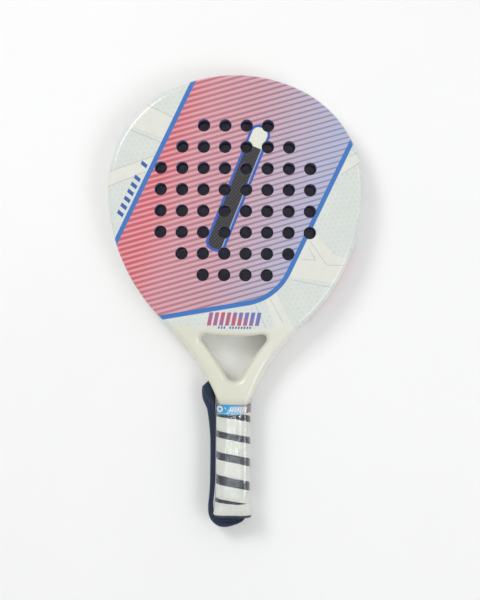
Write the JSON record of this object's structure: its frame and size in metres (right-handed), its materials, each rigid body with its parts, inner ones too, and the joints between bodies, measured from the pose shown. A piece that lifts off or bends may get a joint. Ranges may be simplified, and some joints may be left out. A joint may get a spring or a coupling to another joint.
{
  "type": "padel racket",
  "caption": "Padel racket with a drop-shaped holed head, an open throat, a wrapped handle and a wrist strap.",
  "frame": {"origin": "on the floor under the middle of the whole length, the racket lying on its back face", "axes": "+Z out of the front face, +Y along the racket to the head's tip, +X to the right seen from above"},
  "size_m": [0.26, 0.46, 0.038],
  "materials": {
    "painted_shell": "clear-coated composite",
    "printed_face": "printed and clear-coated laminate",
    "core_foam": "matte closed-cell foam",
    "handle_foam": "raw polyurethane foam",
    "grip_rubber": "satin, perforated",
    "band_print": "printed tape",
    "wrap_white": "soft white strip",
    "clear_film": "clear shrink film",
    "cap_plastic": "moulded",
    "strap_webbing": "woven webbing"
  },
  "bodies": {
    "racket": {"frame_tube": "painted_shell", "throat_bridge": "painted_shell", "foam_core": "core_foam", "front_face": "printed_face", "back_face": "printed_face", "handle_core": "handle_foam", "base_grip": "grip_rubber", "grip_band": "band_print", "wrap_strip": "wrap_white", "shrink_film": "clear_film", "butt_cap": "cap_plastic", "strap_stop": "strap_webbing", "strap_leg": "strap_webbing"},
    "strap": {"strap_loop": "strap_webbing"}
  },
  "joints": [
    {"name": "strap_swing", "type": "hinge", "parent": "racket", "child": "strap", "pos_m": [-0.02265, -0.222, 0.019], "axis": [0, 0, 1], "range_deg": [0, 165]}
  ]
}
